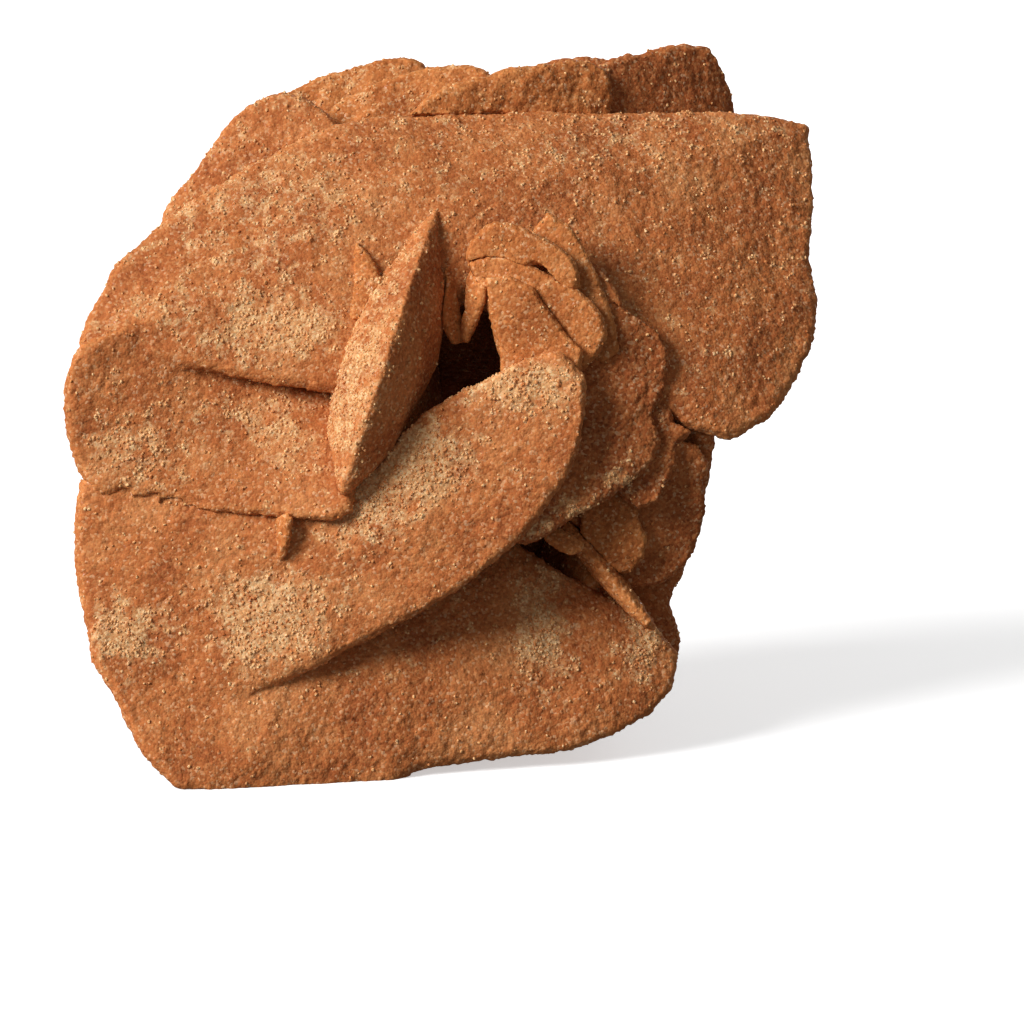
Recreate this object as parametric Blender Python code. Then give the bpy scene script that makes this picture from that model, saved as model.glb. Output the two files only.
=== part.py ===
"""Gypsum sand rose: lens-shaped crystal blades that grew through one another.

Metres, +Z up. The rose faces -Y and rests on z = 0 on the worn rims of its lowest blades.
Each blade is a thin lens with its own outline, set in space by the direction its face looks.
"""
import math

import bmesh
import bpy
from mathutils import Matrix, Vector

MM = 0.001
GAP = 0.3             # clear space left between neighbouring crystals, mm
WORN = 0.35           # how far the resting rims are worn down below their natural edge, mm
LARGE = 40            # points round a large blade
MEDIUM = 22           # points round a middle-sized blade
SMALL = 14            # points round a small blade
FLAKE = 12            # points round a thin flake
RIM = {LARGE: 1.3, MEDIUM: 1.0, SMALL: 0.7, FLAKE: 0.5}    # thickness of the rounded rim, mm
INNER_RINGS = {LARGE: (0.45, 0.8), MEDIUM: (0.65,), SMALL: (0.6,), FLAKE: (0.6,)}
FLAT = math.radians(1.5)   # faces that turn less than this are joined into one

# Sand colours by place on the rose: (red, green, blue) in linear light.
SUNLIT = (0.50, 0.20, 0.085)
AMBER = (0.44, 0.155, 0.055)
RUSSET = (0.30, 0.095, 0.035)

# Each blade: name, colour, points round, centre (x, y, z) in mm, turn and tip of its face in
# degrees (turn 0 looks along -Y, + is towards +X, and + tip looks up), outline corners (across,
# up) in mm, and how far its front and its back swell beyond the rim in mm. Those that come
# first stay whole, and the later ones are cut back where they grew through them.
BLADES = (
    ("upper_front", SUNLIT, LARGE, (1, 17.4, 51.3), 11.4, 34,
     ((-37.4, -7.5), (-37, -5.6), (-35.5, -3.7), (-32.1, 1.4), (-21.8, 8.6), (-10, 14.5),
      (0, 15.4), (22.1, 15.4), (39.1, 15.5), (41.3, 12.6), (39.9, 2.4), (38.6, -3.3),
      (39.8, -6.4), (37.2, -12.2), (32.6, -18.5), (27.5, -21.2), (24.7, -20.2), (12, -11),
      (4, -6), (-2, -7.2), (-5.8, -15.6), (-12.3, -14.6), (-20.6, -12.8), (-26.4, -11),
      (-31.2, -8.8), (-34.6, -8.2)), 2.8, 3),
    ("lower_front", SUNLIT, LARGE, (-10, 3.8, 21.1), -3, 12,
     ((-25.1, 8.8), (-25.1, -2), (-21.9, -11.8), (-17.8, -14.9), (-14, -14.7), (2, -7.5),
      (12, -2), (18, 3), (22.5, 8.5), (24.2, 11.5), (25.2, 14.9), (25.5, 18.1), (24.8, 20.8),
      (23.1, 22.1), (21.3, 22.5), (18.8, 21.4), (16, 19.5), (9.5, 16.2), (4, 10), (-6, 8),
      (-16, 9.5), (-22, 11)), 0.7, 3),
    ("base_front", SUNLIT, LARGE, (-3, 8, 12), 12, 24,
     ((-31.5, 3.5), (-30, -2), (-27, -8.5), (-23, -13), (-11.5, -13.6), (-2, -13.3),
      (1, -11.9), (17, -10.6), (25, -7.7), (28, -4.5), (28.5, -1.5), (26, 1.5), (20.5, 5),
      (16, 8), (8, 14), (-2, 15), (-14, 13), (-25, 9)), 2, 3.6),
    ("middle_left", SUNLIT, LARGE, (-19, 7.9, 35.5), 5, 23.3,
     ((-15.6, 7.7), (-16.8, 6.1), (-17.3, 3.9), (-17.2, -0.3), (-16.4, -3.7), (-14.9, -6),
      (-12.2, -7.5), (-5.2, -8.8), (3.3, -9.6), (8.7, -10.4), (10.6, -9.7), (11.9, -3.6),
      (12.2, 5.9), (6.1, 11), (-6, 11.2)), 0.6, 2),
    ("ridge_crystal", SUNLIT, MEDIUM, (-4, 12, 42.4), 87, -17.5,
     ((5, 14.5), (0, 11.5), (-6, 6.5), (-10.5, 0.5), (-11.5, -5), (-11, -10), (-9.5, -14.5),
      (-4, -13), (4, -9), (8, 0), (8, 9)), 4.4, 4.7),
    ("heart_petal_1", AMBER, SMALL, (10, 9.3, 44.5), -9, 8,
     ((-4.5, 5.3), (-2, 5.5), (0.5, 4), (3, 0.5), (5.5, -2.5), (3, -7), (-2, -7), (-3, -1.5)),
     0.2, 0.3),
    ("heart_petal_2", AMBER, MEDIUM, (10, 10.8, 46), -9, 8,
     ((-6.2, 5.2), (-3.5, 5.9), (-1, 5.3), (1.7, 4), (4.5, 2.7), (6.6, 1.1), (7.8, -1.5),
      (6.2, -4.5), (1, -7.9), (-2.5, -5), (-4.5, 1.5)), 0.2, 0.2),
    ("heart_petal_3", AMBER, MEDIUM, (9.8, 11.8, 52.5), -9, 8,
     ((-6.3, -0.6), (-4.8, 1.9), (-2.9, 2.6), (-0.1, 1.9), (2.5, 0.7), (4.3, -0.6),
      (5.2, -2.5), (4.8, -4.3), (3.4, -2.6), (1.7, -1.2), (-0.3, -1.8), (-2.7, -4.1), (-5, -3)),
     0.2, 0.2),
    ("heart_petal_4", AMBER, SMALL, (14, 12.7, 49), -9, 8,
     ((-4, 5), (-2.7, 6.3), (-1.9, 7.1), (0, 5.3), (2.5, 1.2), (4.4, -3.8), (4.8, -7.6),
      (1, -8), (-2, -2.1)), 0.2, 0.2),
    ("heart_fan", RUSSET, MEDIUM, (17, 9, 34), 12, 17,
     ((2.1, 13.7), (4.7, 11.7), (6.5, 10.5), (7.8, 8.9), (7, 6.3), (6.7, 4.2), (5.3, 1.9),
      (6.3, -0.6), (6, -2.4), (3.9, -3.8), (1.4, -5.6), (-1.5, -7.1), (-4.6, -8.6),
      (-9.7, -10.8), (-10.6, -7.6), (-7, 0.5), (-3.9, 8.1)), 0.4, 0.3),
    ("heart_petal_5", RUSSET, SMALL, (17.5, 13, 46), -9, 8,
     ((-2.5, 5.5), (-0.6, 4.3), (0.8, 2.6), (2.4, -0.6), (3.5, -3.1), (3, -6.5), (-0.5, -5),
      (-2.5, 2)), 0.2, 0.2),
    ("heart_fan_back", RUSSET, MEDIUM, (21, 11.3, 34.5), 12, 15,
     ((0.7, 10), (3.1, 9), (4.7, 6.4), (4.5, 4.2), (3.4, 2.6), (3.6, 0), (5.3, -0.9),
      (3.6, -2), (3.3, -4.5), (1.9, -6.7), (0.7, -8.2), (-1.6, -7.7), (-4, -2), (-1.9, 6)),
     0.2, 0.4),
    ("pit_leaf", AMBER, FLAKE, (4.4, 12, 47.3), -51, 8,
     ((-0.6, 3.6), (1.3, 2.9), (1.7, 1.3), (1.1, -1), (-0.8, -4.7), (-1.5, -3.8), (-0.9, -1.3),
      (-1.1, 1.4)), 0.1, 0.1),
    ("pit_leaf_left", AMBER, FLAKE, (2, 12.9, 47), 43, 9,
     ((-1.3, 0.4), (-0.5, 3.5), (0.4, 4), (0.6, 1.5), (0.9, -1.1), (1, -4), (0.1, -4.5),
      (-0.9, -2.9)), 0.1, 0.1),
    ("needle", AMBER, SMALL, (17.2, 11.5, 20), 100, 39,
     ((0, 6), (-2.4, 0), (-4.2, -6.5), (-3.6, -8), (1.5, -6), (5, -2), (4.5, 4)), 0.6, 0.6),
    ("under_fan_step", AMBER, SMALL, (18.5, 10.6, 24), 0, 0,
     ((-3, 4), (0, 6), (2, 4.5), (2.2, 1.5), (3.2, 0), (2.5, -3.5), (0, -4.5), (-3, -2.5)),
     0.2, 0.3),
    ("under_fan", RUSSET, MEDIUM, (21, 12.4, 27), 8, -4,
     ((0, 8.7), (2.9, 6.8), (5, 5.3), (7.2, 4.9), (7.2, 3.6), (6.6, 1.7), (7, -1), (6, -4.6),
      (4.4, -7.8), (0.5, -9.2), (-5, -7.5), (-8, -1), (-5, 7)), 0.3, 2.2),
    ("needle_wedge", AMBER, FLAKE, (13.5, 8.3, 23.4), 8, 40,
     ((-2, 1.4), (0, 0.9), (1.8, -0.6), (0.5, -1.4), (-1.5, 0)), 0.1, 0.3),
    ("right_low", RUSSET, MEDIUM, (22.5, 21.5, 14), 12, 24,
     ((-5, 6.5), (0.5, 6), (4.3, 4), (2.4, 1.5), (2, -1), (2.6, -3), (2, -6), (-1.5, -7),
      (-7, -4)), 0.6, 2.0),
    ("ridge_spur", AMBER, FLAKE, (-6.4, 10.7, 49.6), -22, 30,
     ((-1.8, 3.9), (-0.8, 3.1), (0.5, 1.6), (2, -0.9), (1.6, -3.5), (-0.4, -4.3), (-1.4, -2),
      (-1.7, 1.2)), 0.1, 0.3),
    ("ledge_fin", AMBER, FLAKE, (-15.2, 3.9, 24.4), -58, 6,
     ((-1.9, 2.8), (1.8, 3), (2, 0.5), (0.7, -2.6), (-0.6, -2.8), (-1.7, -0.6)), 0.1, 0.1),
    ("crown_1", SUNLIT, MEDIUM, (-19, 24, 56), -3, 24,
     ((-8.5, -3), (-6.5, 1), (-4, 4.5), (-1.5, 8.3), (1.5, 10.5), (3.5, 11), (7, 9.5),
      (11, 4), (8, -6), (-2, -9)), 0.8, 2.2),
    ("crown_2", AMBER, MEDIUM, (-9, 34, 60), 2, 26,
     ((-9, 3), (-4.5, 6.5), (0, 8.5), (6, 9.5), (9, 8), (12, 1), (9, -8), (-3, -9), (-10, -4)),
     0.8, 2.2),
    ("crown_3", AMBER, MEDIUM, (-2, 29, 61.5), -4, 24,
     ((-9, 1), (-5, 5), (0, 7), (5, 7.5), (8.5, 6), (9, 0), (4, -8), (-6, -7)), 0.6, 1.6),
    ("crown_4", AMBER, MEDIUM, (9, 28, 61), 16, 16,
     ((-12.2, 2.7), (-8.1, 5.5), (-3.9, 6.8), (5.4, 8.3), (9.6, 7.7), (9.9, 2.7), (7.1, -6.9),
      (-4.3, -7.6), (-11.5, -2.6)), 0.6, 1.6),
    ("crown_5", RUSSET, MEDIUM, (24.6, 36, 60.2), 30, 14,
     ((-10.7, 4.9), (-8.1, 8.3), (-1.7, 9.3), (3.6, 9.8), (6.8, 8.5), (8.4, 2.7), (8.9, -5.8),
      (0.7, -11.3), (-9.6, -8.2)), 0.8, 2.2),
    ("crown_6", RUSSET, MEDIUM, (14, 36.5, 60), 2, 18,
     ((-8, 5), (-3, 8), (2, 9), (6, 7.5), (9, 0), (5, -9), (-5, -9), (-10, -2)), 0.5, 2.0),
    ("spine", RUSSET, MEDIUM, (-3, 26, 31), 84, 4,
     ((-10, 15), (-2, 23), (7, 22), (14, 12), (17, -4), (12, -19), (0, -24), (-8, -16),
      (-12, 0)), 3.6, 3.6),
    ("back_upper", RUSSET, LARGE, (3, 31, 46), 172, 24,
     ((-28, 2), (-23, 11), (-9, 16), (6, 16.5), (19, 13), (27, 5), (26, -5), (15, -13),
      (2, -16), (-13, -14), (-24, -8)), 2.2, 4.0),
    ("back_lower", RUSSET, LARGE, (-1, 28, 18.3), 187, 18,
     ((-24, 3), (-19, 10), (-8, 14), (6, 15), (18, 11), (25, 2), (24, -7), (18, -15),
      (8, -18.8), (-10, -19.9), (-20, -13)), 2.4, 4.0),
    ("back_left", RUSSET, LARGE, (-20, 23, 36), 244, 10,
     ((-16, 3), (-12, 12), (-3, 17), (6, 16), (12, 8), (13, -5), (9, -14), (-1, -20),
      (-12, -13)), 2.0, 3.6),
    ("back_right", RUSSET, LARGE, (20, 26, 38), 122, 8,
     ((-16, 2), (-12, 12), (-3, 18), (8, 17), (15, 8), (16, -4), (10, -15), (-2, -19),
      (-12, -11)), 2.0, 3.6),
    ("back_step", AMBER, MEDIUM, (7, 38, 34), 166, 44,
     ((-14, 1), (-9, 8), (2, 10), (12, 7), (15, -1), (9, -9), (-4, -11), (-12, -6)), 1.2, 2.4),
    ("side_left", AMBER, MEDIUM, (-22, 19, 20), 258, -12,
     ((-12, 2), (-7, 11), (2, 13), (9, 8), (13, -2), (9, -13), (-2, -16), (-10, -9)),
     1.4, 2.8),
    ("side_right", AMBER, MEDIUM, (15, 23, 18.5), 100, -14,
     ((-9, 2), (-5, 11), (3, 13), (11, 7), (14, -4), (9, -14), (-1, -16), (-7, -9)),
     1.4, 2.8),
    ("underside", RUSSET, MEDIUM, (-5, 17, 8), 4, -70,
     ((-19, 1), (-12, 8), (0, 10), (13, 8), (19, 0), (13, -9), (-1, -11), (-14, -8)),
     1.4, 2.6),
    ("crown_bed", RUSSET, MEDIUM, (3, 28, 53), 6, 62,
     ((-24, -1), (-15, 7), (0, 9), (16, 8), (24, 1), (17, -8), (0, -10), (-16, -8)), 1.6, 2.6),
    ("upper_rear_fan", AMBER, MEDIUM, (25, 27, 48), 156, -16,
     ((-11, 1), (-8, 9), (0, 13), (7, 10), (10, 0), (7, -10), (-1, -13), (-9, -8)), 1.0, 2.2),
)

# Blades that are not flat: how far the face bows forward (mm per mm squared across) and how it
# twists (mm per mm across and mm up).
CURVED = {"upper_front": (-0.0022, 0), "middle_left": (0, -0.024)}


def smooth_outline(corners, count):
    """Even points along a closed Catmull-Rom curve through the outline's corners."""
    fine = []
    steps = 12
    for i in range(len(corners)):
        a, b, c, d = (Vector(corners[(i + k) % len(corners)]) for k in (-1, 0, 1, 2))
        for s in range(steps):
            t = s / steps
            fine.append(0.5 * (2 * b + (c - a) * t + (2 * a - 5 * b + 4 * c - d) * t ** 2
                               + (3 * b - a - 3 * c + d) * t ** 3))
    lengths = [(fine[(i + 1) % len(fine)] - p).length for i, p in enumerate(fine)]
    spacing = sum(lengths) / count
    points = []
    walked = 0.0
    for i, p in enumerate(fine):
        after = fine[(i + 1) % len(fine)]
        while len(points) * spacing < walked + lengths[i] and len(points) < count:
            share = (len(points) * spacing - walked) / lengths[i]
            points.append(p.lerp(after, share))
        walked += lengths[i]
    return points


def face_axes(turn, tip):
    """Unit vectors across a blade, up it and out of its face."""
    t, p = math.radians(turn), math.radians(tip)
    across = Vector((math.cos(t), math.sin(t), 0))
    out = Vector((math.sin(t) * math.cos(p), -math.cos(t) * math.cos(p), math.sin(p)))
    return across, out.cross(across), out


def lens_mesh(name, count, centre, turn, tip, corners, front, back, curve, grow=0.0):
    """A closed lens: rings from the middle of each face to a rounded rim, joined at the rim."""
    outline = smooth_outline(corners, count)
    across, up, out = face_axes(turn, tip)
    middle = Vector(centre)
    half = RIM[count] / 2
    bow, twist = curve
    bm = bmesh.new()

    def point(flat, height):
        height += bow * flat.x ** 2 + twist * flat.x * flat.y
        return bm.verts.new((middle + across * flat.x + up * flat.y + out * height) * MM)

    def ring(inset, height):
        return [point(p * (1 - (inset - grow) / p.length), height) for p in outline]

    def scaled_ring(share, height):
        return [point(p * share, height) for p in outline]

    def side(sign, swell):
        height = half + grow
        rings = [scaled_ring(r, sign * (height + swell * (1 - r ** 2)))
                 for r in INNER_RINGS[count]]
        rings.append(ring(half * 0.8, sign * height))
        rings.append(rim)
        return point(Vector((0, 0)), sign * (height + swell)), rings

    rim = ring(0, 0)
    front_middle, front_rings = side(1, front)
    back_middle, back_rings = side(-1, back)
    for i in range(count):
        j = (i + 1) % count
        bm.faces.new((front_middle, front_rings[0][i], front_rings[0][j]))
        bm.faces.new((back_middle, back_rings[0][j], back_rings[0][i]))
        for inner, outer in zip(front_rings, front_rings[1:]):
            bm.faces.new((inner[i], outer[i], outer[j], inner[j]))
        for inner, outer in zip(back_rings, back_rings[1:]):
            bm.faces.new((inner[j], outer[j], outer[i], inner[i]))
    bmesh.ops.recalc_face_normals(bm, faces=bm.faces)
    bmesh.ops.triangulate(bm, faces=bm.faces)
    mesh = bpy.data.meshes.new(name)
    bm.to_mesh(mesh)
    bm.free()
    return mesh


def sandstone(name, colour):
    """The sand-filled gypsum of one blade."""
    material = bpy.data.materials.new(name)
    material.use_nodes = True
    shader = material.node_tree.nodes["Principled BSDF"]
    shader.inputs["Base Color"].default_value = (*colour, 1)
    shader.inputs["Roughness"].default_value = 0.9
    shader.inputs["Metallic"].default_value = 0
    return material


def add_object(name, mesh):
    """Put a mesh into the scene under its name."""
    piece = bpy.data.objects.new(name, mesh)
    bpy.context.scene.collection.objects.link(piece)
    return piece


def add_cutter(name, mesh):
    """A guide solid that only takes material away from others."""
    cutter = add_object(name, mesh)
    cutter.hide_render = True
    cutter.display_type = "WIRE"
    return cutter


def ground_cutter():
    """The block under z = 0 that wears the lowest rims flat."""
    bm = bmesh.new()
    bmesh.ops.create_cube(bm, size=0.2)
    bmesh.ops.translate(bm, verts=bm.verts, vec=(0, 0, -0.1))
    mesh = bpy.data.meshes.new("ground")
    bm.to_mesh(mesh)
    bm.free()
    return add_cutter("cut_ground", mesh)


def boxes_meet(a, b):
    """Whether the boxes round two meshes overlap."""
    for axis in range(3):
        one = [v.co[axis] for v in a.vertices]
        two = [v.co[axis] for v in b.vertices]
        if min(one) > max(two) or min(two) > max(one):
            return False
    return True


def cut(piece, cutter):
    """Take a cutter's shape out of a piece."""
    modifier = piece.modifiers.new("cut_by_" + cutter.name, "BOOLEAN")
    modifier.operation = "DIFFERENCE"
    modifier.solver = "EXACT"
    modifier.object = cutter


def keep_largest_body(piece):
    """Apply the cuts and drop the chips that they part from the crystal's main body."""
    graph = bpy.context.evaluated_depsgraph_get()
    bm = bmesh.new()
    bm.from_mesh(piece.evaluated_get(graph).to_mesh())
    left = set(bm.verts)
    bodies = []
    while left:
        body = {left.pop()}
        edge = set(body)
        while edge:
            edge = {e.other_vert(v) for v in edge for e in v.link_edges} - body
            body |= edge
        left -= body
        bodies.append(body)
    bodies.sort(key=lambda b: sum(f.calc_area() for f in {f for v in b for f in v.link_faces}))
    chips = [v for body in bodies[:-1] for v in body]
    bmesh.ops.delete(bm, geom=chips, context="VERTS")
    bmesh.ops.dissolve_degenerate(bm, dist=2e-6, edges=bm.edges)
    bmesh.ops.dissolve_limit(bm, angle_limit=FLAT, verts=bm.verts, edges=bm.edges)
    bmesh.ops.triangulate(bm, faces=bm.faces)
    mesh = bpy.data.meshes.new(piece.name)
    bm.to_mesh(mesh)
    bm.free()
    mesh.shade_smooth()
    mesh.set_sharp_from_angle(angle=math.radians(40))
    return mesh


def centre_over_origin(pieces):
    """Move the whole rose so that the middle of its plan is over the origin."""
    points = [v.co for piece in pieces for v in piece.data.vertices]
    across = (min(p.x for p in points) + max(p.x for p in points)) / 2
    deep = (min(p.y for p in points) + max(p.y for p in points)) / 2
    for piece in pieces:
        piece.data.transform(Matrix.Translation((-across, -deep, 0)))


def build():
    """Every blade in turn, cut back by the ones before it and worn flat at the ground."""
    ground = ground_cutter()
    pieces = []
    cutters = []
    for name, colour, count, centre, turn, tip, corners, front, back in BLADES:
        low = Vector(centre) - Vector((0, 0, WORN))
        curve = CURVED.get(name, (0, 0))
        shape = (count, low, turn, tip, corners, front, back, curve)
        piece = add_object(name, lens_mesh(name, *shape))
        for cutter in cutters:
            if boxes_meet(piece.data, cutter.data):
                cut(piece, cutter)
        if min(v.co.z for v in piece.data.vertices) < 0:
            cut(piece, ground)
        cutters.append(add_cutter("cut_" + name, lens_mesh("cut_" + name, *shape, GAP)))
        pieces.append((piece, colour))
    meshes = [keep_largest_body(piece) for piece, _ in pieces]
    for (piece, colour), mesh in zip(pieces, meshes):
        piece.modifiers.clear()
        piece.data = mesh
        mesh.materials.append(sandstone("sand_gypsum_" + piece.name, colour))
    centre_over_origin([piece for piece, _ in pieces])
    for cutter in cutters + [ground]:
        bpy.data.objects.remove(cutter)


for old in list(bpy.data.objects):
    bpy.data.objects.remove(old)
build()
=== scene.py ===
import math

import bpy
import numpy as np
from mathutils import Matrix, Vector


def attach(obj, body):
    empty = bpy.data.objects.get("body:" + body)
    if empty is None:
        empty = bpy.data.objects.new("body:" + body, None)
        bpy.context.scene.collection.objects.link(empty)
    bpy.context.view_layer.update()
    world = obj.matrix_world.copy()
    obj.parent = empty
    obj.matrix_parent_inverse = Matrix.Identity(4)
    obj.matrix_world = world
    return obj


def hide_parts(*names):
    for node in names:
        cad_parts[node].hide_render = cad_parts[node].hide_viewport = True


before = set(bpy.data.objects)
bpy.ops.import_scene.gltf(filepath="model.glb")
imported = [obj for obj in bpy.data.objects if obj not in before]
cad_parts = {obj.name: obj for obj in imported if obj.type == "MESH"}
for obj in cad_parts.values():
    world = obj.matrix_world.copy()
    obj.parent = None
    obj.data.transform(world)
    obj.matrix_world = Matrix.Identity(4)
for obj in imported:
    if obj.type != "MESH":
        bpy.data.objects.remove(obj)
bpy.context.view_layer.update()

MM = 0.001
bpy.ops.object.select_all(action="DESELECT")


# ---------------------------------------------------------------- the large front blades
# Gypsum crystals that grew in wet dune sand and took the sand in. Each blade is a lens with a
# rounded, ragged rim and a face like coarse sugar, and where two blades meet they are grown
# into one another. These are the big sunlit ones that face the front.

SEAM = 0.2 * MM             # half of the 0.3 mm gap between the frame's blades, and a little
PROUD = 0.35                # how far out a rim stands from its smoothed shape, mm
RIM_STEPS = 10              # steps of weight from the face to the rim


def apply_modifier(piece, kind, **settings):
    """Adds a modifier with its settings and applies it."""
    bpy.ops.object.select_all(action="DESELECT")
    piece.select_set(True)
    bpy.context.view_layer.objects.active = piece
    bpy.ops.object.modifier_add(type=kind)
    modifier = piece.modifiers[-1]
    for setting, value in settings.items():
        setattr(modifier, setting, value)
    bpy.ops.object.modifier_apply(modifier=modifier.name)


def relief(name, kind, size, depth=2):
    """A solid pattern that lifts the surface, one feature to each size."""
    pattern = bpy.data.textures.new(name, kind)
    pattern.noise_scale = size
    if kind == "CLOUDS":
        pattern.noise_depth = depth
    return pattern


# From the slow wave of a whole blade down to grit a little coarser than the real grain, so
# that it shows. The chips are the bites out of the thin rims.
long_bend = relief("long_bend", "CLOUDS", 11 * MM, 1)
lumps = relief("lumps", "CLOUDS", 2.6 * MM, 2)
chips = relief("chips", "CLOUDS", 1.7 * MM, 3)
crumbs = relief("crumbs", "CLOUDS", 0.7 * MM, 2)
grit = relief("grit", "CLOUDS", 0.35 * MM, 1)


def mark_rim(crystal):
    """Weights the points by how far out they stand: 1 on a rim or a corner, 0 on a face."""
    mesh = crystal.data
    before = np.empty(len(mesh.vertices) * 3, np.float32)
    mesh.vertices.foreach_get("co", before)
    eased = crystal.copy()
    eased.data = mesh.copy()
    bpy.context.scene.collection.objects.link(eased)
    apply_modifier(eased, "SMOOTH", factor=0.5, iterations=24)
    after = np.empty_like(before)
    eased.data.vertices.foreach_get("co", after)
    normals = np.empty_like(before)
    mesh.vertices.foreach_get("normal", normals)
    out = ((before - after) * normals).reshape(-1, 3).sum(axis=1) / MM
    bpy.data.objects.remove(eased)
    layer = mesh.attributes.new("rim", "FLOAT", "POINT")
    layer.data.foreach_set("value", np.clip(out / PROUD, 0, 1).astype(np.float32))
    steps = np.clip((out / PROUD * RIM_STEPS).astype(int), 0, RIM_STEPS)
    group = crystal.vertex_groups.new(name="rim")
    for step in range(1, RIM_STEPS + 1):
        group.add(np.flatnonzero(steps == step).tolist(), step / RIM_STEPS, "REPLACE")


def grow_crystal(nodes, name, voxel, bend=0.9, lump=0.36, chip=1.3, crumb=0.26, grain=0.2):
    """The finished surface of blades that are grown together, from the frame's plain lenses.

    The voxel and the heights of the relief, from its lowest to its highest, are in mm.
    """
    copies = []
    for node in nodes:
        copy = bpy.data.objects.new(name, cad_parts[node].data.copy())
        bpy.context.scene.collection.objects.link(copy)
        copies.append(copy)
    bpy.ops.object.select_all(action="DESELECT")
    for copy in copies:
        copy.select_set(True)
    crystal = copies[0]
    bpy.context.view_layer.objects.active = crystal
    if len(copies) > 1:
        bpy.ops.object.join()
    bpy.ops.object.mode_set(mode="EDIT")
    bpy.ops.mesh.select_all(action="SELECT")
    bpy.ops.mesh.remove_doubles(threshold=0.01 * MM)
    bpy.ops.object.mode_set(mode="OBJECT")
    apply_modifier(crystal, "DISPLACE", strength=SEAM, mid_level=0)
    apply_modifier(crystal, "REMESH", mode="VOXEL", voxel_size=voxel * MM)
    apply_modifier(crystal, "SMOOTH", factor=0.5, iterations=2)
    mark_rim(crystal)
    for pattern, height in ((long_bend, bend), (lumps, lump), (crumbs, crumb), (grit, grain)):
        apply_modifier(crystal, "DISPLACE", texture=pattern, texture_coords="LOCAL",
                       strength=height * MM, mid_level=0.5)
    apply_modifier(crystal, "DISPLACE", texture=chips, texture_coords="LOCAL",
                   strength=chip * MM, mid_level=0.6, vertex_group="rim")
    crystal.data.shade_smooth()
    crystal.data.materials.clear()
    return crystal


def linear(hex_colour):
    """An sRGB hex colour as linear light, with full alpha."""
    channels = [int(hex_colour[i:i + 2], 16) / 255 for i in (1, 3, 5)]
    return (*(c / 12.92 if c <= 0.04045 else ((c + 0.055) / 1.055) ** 2.4 for c in channels), 1)


def add_node(tree, kind, settings=None, links=None):
    """Adds a node, sets its properties, inputs and colour stops, and links its inputs."""
    node = tree.nodes.new(kind)
    for key, value in (settings or {}).items():
        if key == "stops":
            for place, colour in value[2:]:
                node.color_ramp.elements.new(place)
            for element, (place, colour) in zip(node.color_ramp.elements, value):
                element.position = place
                element.color = linear(colour)
        elif isinstance(key, str) and hasattr(node, key):
            setattr(node, key, value)
        else:
            node.inputs[key].default_value = value
    for key, socket in (links or {}).items():
        tree.links.new(socket, node.inputs[key])
    return node


PATCH = {"Scale": 1 / (1.6 * MM), "Detail": 5.0, "Roughness": 0.72}    # clumps of loose sand


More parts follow.
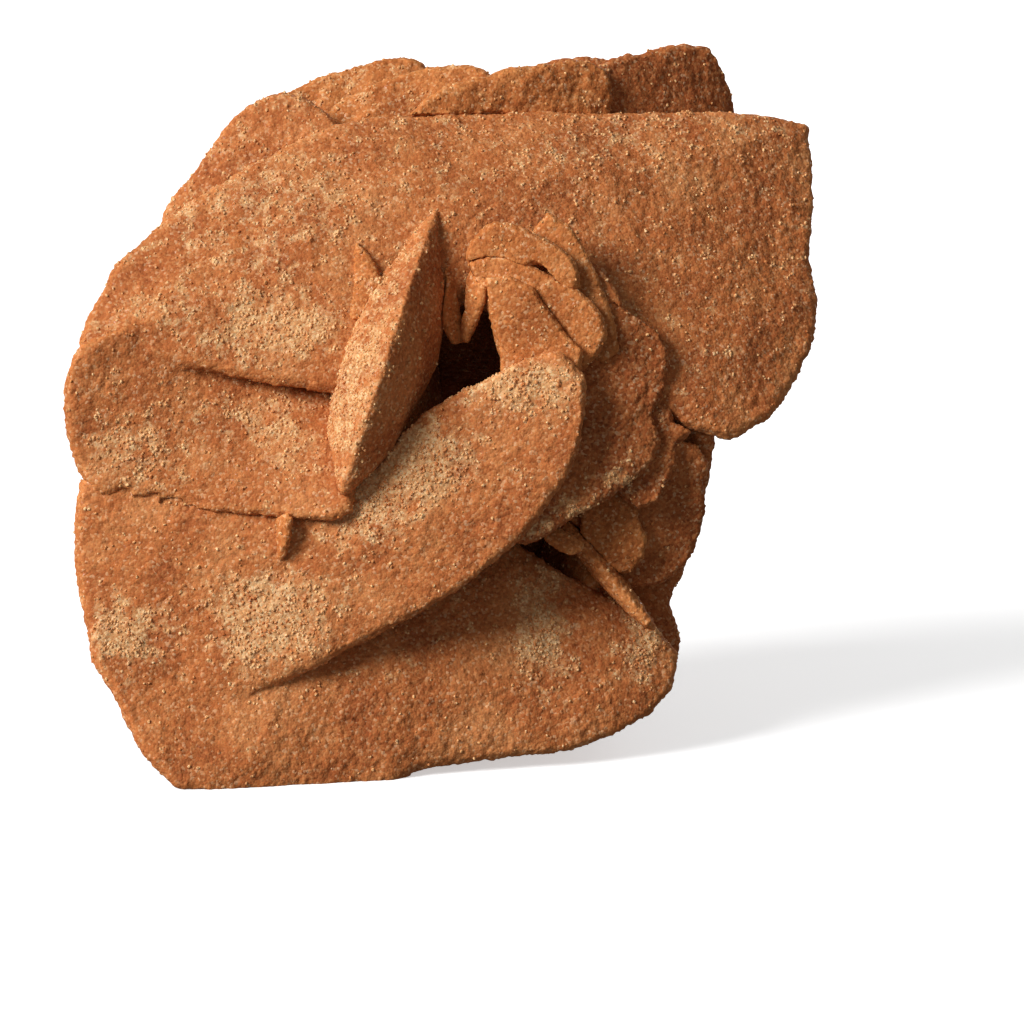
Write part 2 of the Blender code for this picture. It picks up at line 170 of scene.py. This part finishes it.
def sand_gypsum(name, dark, body, light, edge):
    """Sand-filled gypsum: matt, grainy, a little translucent, with pale loose sand on it.

    Dark, body and light are the tones of this copy, and the edge is its thin, barer rims, made
    lighter as a painted highlight where they catch the light.
    """
    material = bpy.data.materials.new(name)
    material.use_nodes = True
    tree = material.node_tree
    shader = tree.nodes["Principled BSDF"]
    place = add_node(tree, "ShaderNodeTexCoord").outputs["Object"]

    cloud = add_node(tree, "ShaderNodeTexNoise", {"Scale": 1 / (6 * MM), "Detail": 4.0},
                     {"Vector": place}).outputs["Fac"]
    tone = add_node(tree, "ShaderNodeValToRGB",
                    {"stops": ((0.34, dark), (0.5, body), (0.66, light))}, {"Fac": cloud})
    # The rims take the edge colour: partly barer stone, partly a painted highlight where thin rims
    # catch the light.
    rim = add_node(tree, "ShaderNodeAttribute", {"attribute_name": "rim"}).outputs["Fac"]
    bare_rim_and_highlight = add_node(tree, "ShaderNodeMix", {"data_type": "RGBA", 7: linear(edge)},
                     {0: rim, 6: tone.outputs["Color"]})

    grains = add_node(tree, "ShaderNodeTexVoronoi", {"Scale": 1 / (0.26 * MM)}, {"Vector": place})
    pick = add_node(tree, "ShaderNodeSeparateColor", links={"Color": grains.outputs["Color"]})
    speck = add_node(tree, "ShaderNodeValToRGB",
                     {"stops": ((0.0, "#5e2a12"), (0.18, "#9a5029"), (0.55, "#b46b3b"),
                                (0.86, "#d2925c"), (1.0, "#efcda2"))}, {"Fac": pick.outputs["Red"]})
    speckled = add_node(tree, "ShaderNodeMix", {"data_type": "RGBA", 0: 0.36},
                        {6: bare_rim_and_highlight.outputs[2], 7: speck.outputs["Color"]})

    crust = add_node(tree, "ShaderNodeAttribute", {"attribute_name": "crust"}).outputs["Fac"]
    patch = add_node(tree, "ShaderNodeTexNoise", PATCH, {"Vector": place}).outputs["Fac"]
    laid = add_node(tree, "ShaderNodeMath", {"operation": "ADD"}, {0: crust, 1: patch})
    laid = add_node(tree, "ShaderNodeMapRange", {"From Min": 0.96, "From Max": 1.1, "To Max": 0.8},
                    {"Value": laid.outputs[0]}).outputs["Result"]
    sand = add_node(tree, "ShaderNodeValToRGB",
                    {"stops": ((0.0, "#bd8250"), (0.5, "#d8a26c"), (1.0, "#ecc896"))},
                    {"Fac": pick.outputs["Green"]})
    crusted = add_node(tree, "ShaderNodeMix", {"data_type": "RGBA"},
                       {0: laid, 6: speckled.outputs[2], 7: sand.outputs["Color"]})

    # Painted shade and highlight: the colour is darkened in the hollows and creases between grains
    # and lightened on the points and ridges, by the mesh's pointiness.
    ridge = add_node(tree, "ShaderNodeNewGeometry").outputs["Pointiness"]
    crevice_shade_point_highlight = add_node(tree, "ShaderNodeMapRange", {"From Min": 0.43, "From Max": 0.57,
                                                 "To Min": 0.74, "To Max": 1.2},
                    {"Value": ridge}).outputs["Result"]
    shade = add_node(tree, "ShaderNodeVectorMath", {"operation": "SCALE"},
                     {0: crusted.outputs[2], "Scale": crevice_shade_point_highlight})
    tree.links.new(shade.outputs[0], shader.inputs["Base Color"])

    shine = add_node(tree, "ShaderNodeMapRange", {"From Min": 0.93, "From Max": 0.96,
                                                  "To Min": 0.85, "To Max": 0.3},
                     {"Value": pick.outputs["Blue"]}).outputs["Result"]
    tree.links.new(shine, shader.inputs["Roughness"])
    coarse = add_node(tree, "ShaderNodeTexNoise", {"Scale": 1 / (0.6 * MM), "Detail": 5.0},
                      {"Vector": place}).outputs["Fac"]
    grain_bump = add_node(tree, "ShaderNodeBump", {"Strength": 0.5, "Distance": 0.1 * MM,
                                                   "invert": True},
                          {"Height": grains.outputs["Distance"]})
    bump = add_node(tree, "ShaderNodeBump", {"Strength": 0.6, "Distance": 0.2 * MM},
                    {"Height": coarse, "Normal": grain_bump.outputs["Normal"]})
    tree.links.new(bump.outputs["Normal"], shader.inputs["Normal"])
    shader.inputs["Specular IOR Level"].default_value = 0.2
    shader.inputs["Subsurface Weight"].default_value = 0.12
    shader.inputs["Subsurface Radius"].default_value = (1.0, 0.4, 0.16)
    shader.inputs["Subsurface Scale"].default_value = 1.1 * MM
    return material


# Grown crystal surfaces, never cut or polished, in three copies of one material: a lighter copy
# that paints light on the bright faces towards the sky and the left, one for the thin amber blades,
# and a redder, darker copy on the barer ones in the shelter of the rest, partly a redder tone and
# partly painted shade.
sunlit = sand_gypsum("sand_gypsum_sunlit", "#a4582b", "#bd6d38", "#d1874f", "#d98f50")
amber = sand_gypsum("sand_gypsum_amber", "#96501f", "#b76a32", "#cc8146", "#d8924e")
russet_painted_shade = sand_gypsum("sand_gypsum_russet_painted_shade", "#82401a", "#9c5225", "#b06533", "#bd7038")

# One rounded dune-sand grain, drawn a little coarse so that it shows. The loose sand is
# copies of it, thick where the crust is and thin elsewhere.
bpy.ops.mesh.primitive_ico_sphere_add(subdivisions=1, radius=0.19 * MM)
grain = bpy.context.object
grain.name = "sand_grain"
bpy.ops.object.mode_set(mode="EDIT")
bpy.ops.transform.resize(value=(1.0, 0.8, 0.7))
bpy.ops.transform.vertex_random(offset=0.03 * MM, seed=4)
bpy.ops.object.mode_set(mode="OBJECT")

strew = bpy.data.node_groups.new("strew_sand", "GeometryNodeTree")
strew.interface.new_socket("Geometry", in_out="INPUT", socket_type="NodeSocketGeometry")
strew.interface.new_socket("Geometry", in_out="OUTPUT", socket_type="NodeSocketGeometry")
ground = add_node(strew, "NodeGroupInput").outputs[0]
crust_here = add_node(strew, "GeometryNodeInputNamedAttribute", {"data_type": "FLOAT",
                                                                 "Name": "crust"})
patch_here = add_node(strew, "ShaderNodeTexNoise", PATCH)
laid_here = add_node(strew, "ShaderNodeMath", {"operation": "ADD"},
                     {0: crust_here.outputs["Attribute"], 1: patch_here.outputs["Fac"]})
per_area = add_node(strew, "ShaderNodeMapRange", {"From Min": 0.92, "From Max": 1.1,
                                                  "To Min": 0.1e6, "To Max": 6e6},
                    {"Value": laid_here.outputs[0]})
spots = add_node(strew, "GeometryNodeDistributePointsOnFaces", {"Seed": 7},
                 {"Mesh": ground, "Density": per_area.outputs["Result"]})
turned = add_node(strew, "FunctionNodeRandomValue", {"data_type": "FLOAT_VECTOR"})
turned.inputs["Max"].default_value = (6.3, 6.3, 6.3)
turned = add_node(strew, "FunctionNodeEulerToRotation", links={0: turned.outputs["Value"]})
sized = add_node(strew, "FunctionNodeRandomValue", {"data_type": "FLOAT", 2: 0.5, 3: 1.35})
kind = add_node(strew, "GeometryNodeObjectInfo", {"Object": grain})
copies = add_node(strew, "GeometryNodeInstanceOnPoints",
                  links={"Points": spots.outputs["Points"], "Instance": kind.outputs["Geometry"],
                         "Rotation": turned.outputs[0], "Scale": sized.outputs[1]})
real = add_node(strew, "GeometryNodeRealizeInstances", links={"Geometry": copies.outputs[0]})
pale = add_node(strew, "GeometryNodeStoreNamedAttribute", {"data_type": "FLOAT",
                                                           "Name": "crust", "Value": 0.55},
                {"Geometry": real.outputs[0]})
add_node(strew, "NodeGroupOutput", links={0: pale.outputs[0]})


def lay_crust(crystal, base, patches):
    """Marks how much loose sand lies on each point: patches are (x, z, width, height, amount)."""
    mesh = crystal.data
    count = len(mesh.vertices)
    points = np.empty(count * 3, np.float32)
    normals = np.empty(count * 3, np.float32)
    mesh.vertices.foreach_get("co", points)
    mesh.vertices.foreach_get("normal", normals)
    points = points.reshape(-1, 3) / MM
    normals = normals.reshape(-1, 3)
    rims = np.empty(count, np.float32)
    mesh.attributes["rim"].data.foreach_get("value", rims)
    amount = base + 0.1 * np.clip(normals @ np.array((-0.35, -0.3, 0.88)), -1, 1) - 0.12 * rims
    for x, z, width, height, extra in patches:
        reach = ((points[:, 0] - x) / width) ** 2 + ((points[:, 2] - z) / height) ** 2
        amount = amount + extra * np.exp(-reach)
    layer = mesh.attributes.new("crust", "FLOAT", "POINT")
    layer.data.foreach_set("value", amount.astype(np.float32))


def finish_crystal(nodes, name, voxel, material, slot, crust=0.36, patches=(), **heights):
    """Grows blades over their plain solids, sands them and fixes them to the rose."""
    crystal = grow_crystal(nodes, name, voxel, **heights)
    lay_crust(crystal, crust, patches)
    crystal.data.materials.append(material)
    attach(crystal, "root")
    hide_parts(*nodes)
    sand = bpy.data.objects.new(name + "_loose_sand", crystal.data.copy())
    bpy.context.scene.collection.objects.link(sand)
    apply_modifier(sand, "NODES", node_group=strew)
    sand.data.materials.clear()
    sand.data.materials.append(material)
    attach(sand, "root")


finish_crystal(("upper_front", "middle_left"), "upper_blades", 0.3, sunlit,
               "sunlit_sand_gypsum", 0.34,
               ((-18, 45, 8, 3.2, 0.24), (22, 62, 12, 3, 0.06), (-20, 56, 12, 4, 0.1),
                (-31, 33.5, 5, 4, 0.18), (-17, 35, 5, 3, 0.14)))
finish_crystal(("lower_front", "base_front"), "lower_blades", 0.26, sunlit,
               "sunlit_sand_gypsum", 0.31,
               ((-3, 32, 5, 3.6, 0.46), (-9, 27, 5, 3, 0.28), (-18, 16.5, 6, 4.5, 0.42),
                (-32, 15, 3.5, 3, 0.34), (7.5, 39.6, 5, 2.2, 0.4), (9.5, 13.6, 2.5, 5, 0.32),
                (20, 12, 3, 4, 0.26)))


# ---------------------------------------------------------------- the ridge crystal
# A thick lens that stands on edge in the middle, with a small spur beside its top and a fin
# on the ledge to its left.

finish_crystal(("ridge_crystal",), "ridge_crystal_grown", 0.25, sunlit, "sunlit_sand_gypsum",
               0.36, ((-10, 41, 3.4, 10, 0.2),), bend=0.5, chip=0.9)
finish_crystal(("ridge_spur",), "ridge_spur_grown", 0.16, amber, "amber_sand_gypsum", 0.36,
               bend=0.2, lump=0.2, chip=0.4)
finish_crystal(("ledge_fin",), "ledge_fin_grown", 0.16, amber, "amber_sand_gypsum", 0.3,
               bend=0.2, lump=0.2, chip=0.4)


# ---------------------------------------------------------------- the heart
# Thin petals stacked like shingles round a dark pit, with ragged fans to their right.

for number in range(1, 5):
    finish_crystal((f"heart_petal_{number}",), f"heart_petal_{number}_grown", 0.18, amber,
                   "amber_sand_gypsum", 0.31, bend=0.3, lump=0.3, chip=0.9, crumb=0.18,
                   grain=0.12)
finish_crystal(("heart_petal_5",), "heart_petal_5_grown", 0.18, russet_painted_shade, "russet_sand_gypsum",
               0.31, bend=0.3, lump=0.3, chip=0.9, crumb=0.18, grain=0.12)
for node in ("pit_leaf", "pit_leaf_left"):
    finish_crystal((node,), node + "_grown", 0.14, amber, "amber_sand_gypsum", 0.28, bend=0.2,
                   lump=0.2, chip=0.4, crumb=0.15, grain=0.1)
finish_crystal(("heart_fan",), "heart_fan_grown", 0.2, russet_painted_shade, "russet_sand_gypsum", 0.3,
               ((9, 25.3, 2.5, 1.3, 0.3), (13.5, 27, 2.5, 1.3, 0.3), (17.5, 29.5, 2.5, 1.3, 0.3)),
               bend=0.4, lump=0.5)
finish_crystal(("heart_fan_back",), "heart_fan_back_grown", 0.2, russet_painted_shade, "russet_sand_gypsum",
               0.3, bend=0.4, lump=0.7)


# ---------------------------------------------------------------- under the fans
# Blades in the shade at the lower right: two fans, an edge-on sliver and a chip at its root,
# and the end of a blade behind the base.

for node in ("under_fan", "right_low"):
    finish_crystal((node,), node + "_grown", 0.25, russet_painted_shade, "russet_sand_gypsum", 0.28,
                   bend=0.5, lump=0.5)
for node in ("under_fan_step", "needle", "needle_wedge"):
    finish_crystal((node,), node + "_grown", 0.18, amber, "amber_sand_gypsum", 0.3, bend=0.3,
                   lump=0.25, chip=0.6, crumb=0.18)


# ---------------------------------------------------------------- the crown
# The tops of the blades behind the upper front one.

finish_crystal(("crown_1",), "crown_1_grown", 0.25, sunlit, "sunlit_sand_gypsum", 0.36)
for node in ("crown_2", "crown_3", "crown_4"):
    finish_crystal((node,), node + "_grown", 0.25, amber, "amber_sand_gypsum", 0.34, lump=0.7)
for node in ("crown_5", "crown_6", "crown_bed"):
    finish_crystal((node,), node + "_grown", 0.3, russet_painted_shade, "russet_sand_gypsum", 0.32, lump=0.6)


# ---------------------------------------------------------------- the back and the sides
# Blades of the same habit that close the rose behind and below.

for node in ("spine", "back_upper", "back_lower", "back_left", "back_right", "underside"):
    finish_crystal((node,), node + "_grown", 0.35, russet_painted_shade, "russet_sand_gypsum", 0.34)
for node in ("back_step", "side_left", "side_right", "upper_rear_fan"):
    finish_crystal((node,), node + "_grown", 0.35, amber, "amber_sand_gypsum", 0.34)
bpy.data.objects.remove(grain)


# ---------------------------------------------------------------- the studio
# A plain white table and soft light from the upper left. The table throws no light back up,
# as it would not with black card laid round the rose just out of view.

bpy.ops.mesh.primitive_plane_add(size=3.0, location=(0, 0, 0))
floor = bpy.context.object
floor.name = "table"
floor.visible_diffuse = False
floor.visible_glossy = False
white = bpy.data.materials.new("white_lacquered_board")
white.use_nodes = True
white_shader = white.node_tree.nodes["Principled BSDF"]
white_shader.inputs["Base Color"].default_value = linear("#f4f4f4")
white_shader.inputs["Roughness"].default_value = 0.6
white_shader.inputs["Emission Color"].default_value = linear("#ffffff")
white_shader.inputs["Emission Strength"].default_value = 0.5
floor.data.materials.append(white)

heart = Vector((6.41, -16.23, 26.59)) * MM
VIEW_RISE = math.radians(12)
VIEW_DISTANCE = 512 * MM


def aim(thing, place, target):
    """Puts a lamp or a camera in its place, looking at the target."""
    thing.location = place
    thing.rotation_euler = (target - place).to_track_quat("-Z", "Y").to_euler()


lamp = bpy.data.lights.new("key", "SUN")
lamp.energy = 4.4
lamp.angle = math.radians(28)
key = bpy.data.objects.new("key", lamp)
bpy.context.scene.collection.objects.link(key)
aim(key, heart + Vector((-0.70, -0.47, 0.50)), heart)

lamp = bpy.data.lights.new("fill", "AREA")
lamp.size = 0.9
lamp.energy = 0.9
fill = bpy.data.objects.new("fill", lamp)
bpy.context.scene.collection.objects.link(fill)
aim(fill, heart + Vector((0.35, -1.1, 0.3)), heart)

lamp = bpy.data.lights.new("back", "AREA")
lamp.size = 0.9
lamp.energy = 5.0
back = bpy.data.objects.new("back", lamp)
bpy.context.scene.collection.objects.link(back)
aim(back, heart + Vector((0.45, 1.1, 0.35)), heart)

world = bpy.data.worlds.new("studio")
world.use_nodes = True
world.node_tree.nodes["Background"].inputs["Color"].default_value = (1, 1, 1, 1)
world.node_tree.nodes["Background"].inputs["Strength"].default_value = 0.16
bpy.context.scene.world = world
bpy.context.scene.view_settings.view_transform = "Standard"

camera_data = bpy.data.cameras.new("camera")
camera_data.lens = 180
camera_data.clip_start = 0.01
camera = bpy.data.objects.new("camera", camera_data)
bpy.context.scene.collection.objects.link(camera)
aim(camera, heart + Vector((0, -math.cos(VIEW_RISE), math.sin(VIEW_RISE))) * VIEW_DISTANCE, heart)
bpy.context.scene.camera = camera
